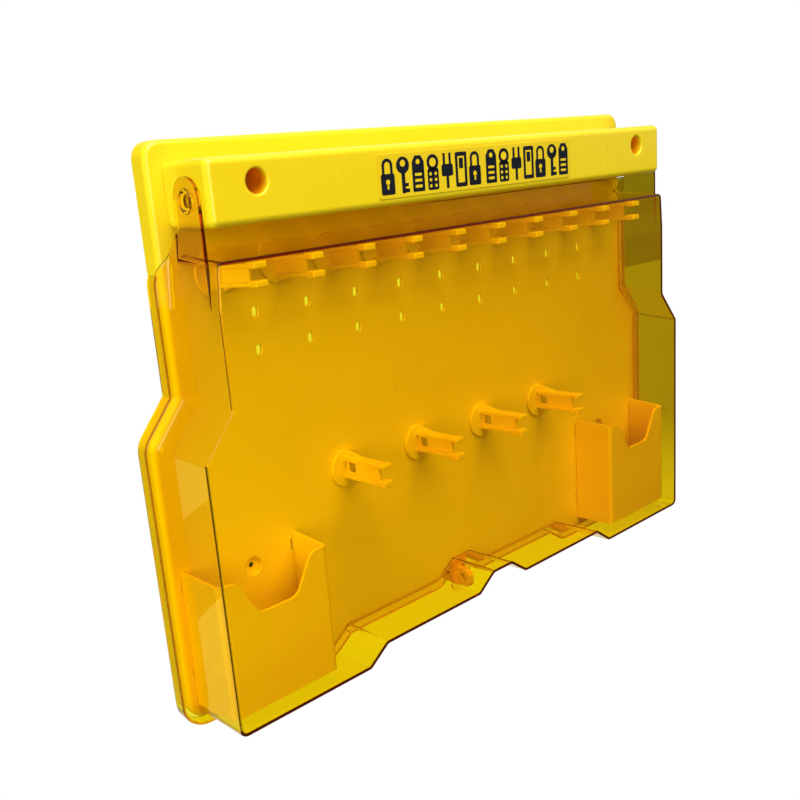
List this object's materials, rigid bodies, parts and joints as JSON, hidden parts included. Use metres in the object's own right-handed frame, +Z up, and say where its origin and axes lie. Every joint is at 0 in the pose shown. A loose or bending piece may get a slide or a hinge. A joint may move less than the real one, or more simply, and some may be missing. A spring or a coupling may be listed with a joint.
{
  "type": "lockout station",
  "caption": "Wall-mounted lockout station: a kinked back board with a header box, rows of padlock hooks, open bins, a padlock lug and a transparent cover hinged at the header's ends.",
  "frame": {"origin": "middle of the flat pad on the back of the board, where it meets the wall", "axes": "+X along the wall to the right seen from the front, +Y into the wall, +Z up"},
  "size_m": [0.5636, 0.0731, 0.4137],
  "materials": {
    "board": "smooth moulded, slightly glossy",
    "label": "printed film with black pictograms",
    "cover": "clear amber, polished",
    "pin": "polished moulded",
    "bin": "smooth moulded",
    "hook": "smooth moulded"
  },
  "bodies": {
    "station": {"back_board": "board", "header_box": "board", "label_plate": "label", "padlock_lug": "board", "pivot_pin_left": "pin", "pivot_pin_right": "pin", "bin_left": "bin", "bin_right": "bin", "hook_upper_1": "hook", "hook_upper_2": "hook", "hook_upper_3": "hook", "hook_upper_4": "hook", "hook_upper_5": "hook", "hook_upper_6": "hook", "hook_upper_7": "hook", "hook_upper_8": "hook", "hook_upper_9": "hook", "hook_upper_10": "hook", "hook_lower_1": "hook", "hook_lower_2": "hook", "hook_lower_3": "hook", "hook_lower_4": "hook"},
    "cover": {"cover": "cover"}
  },
  "joints": [
    {"name": "cover_hinge", "type": "hinge", "parent": "station", "child": "cover", "pos_m": [0, -0.0492, 0.1662], "axis": [-1, 0, 0], "range_deg": [0, 150]}
  ]
}
